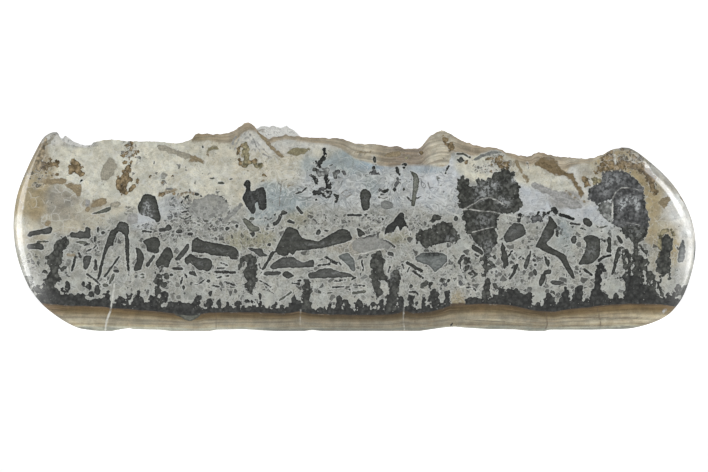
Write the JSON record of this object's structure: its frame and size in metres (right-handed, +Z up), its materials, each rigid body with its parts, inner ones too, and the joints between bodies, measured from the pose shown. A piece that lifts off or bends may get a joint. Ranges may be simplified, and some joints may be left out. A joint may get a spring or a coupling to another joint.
{
  "type": "stromatolite fossil",
  "caption": "Polished standing slab of landscape-marble stromatolite, dark branching growths in pale limestone, with rounded ends and a natural crinkled crust on top.",
  "frame": {"origin": "middle of the underside, level with the bed that the slab stands on", "axes": "+X along the slab, -Y out of the polished face, +Z up through the beds"},
  "size_m": [0.273, 0.028, 0.0834],
  "materials": {
    "polished_limestone": "polished on the front, sawn behind, natural crust on top"
  },
  "bodies": {
    "root": {"stromatolite_slab": "polished_limestone"}
  },
  "joints": []
}
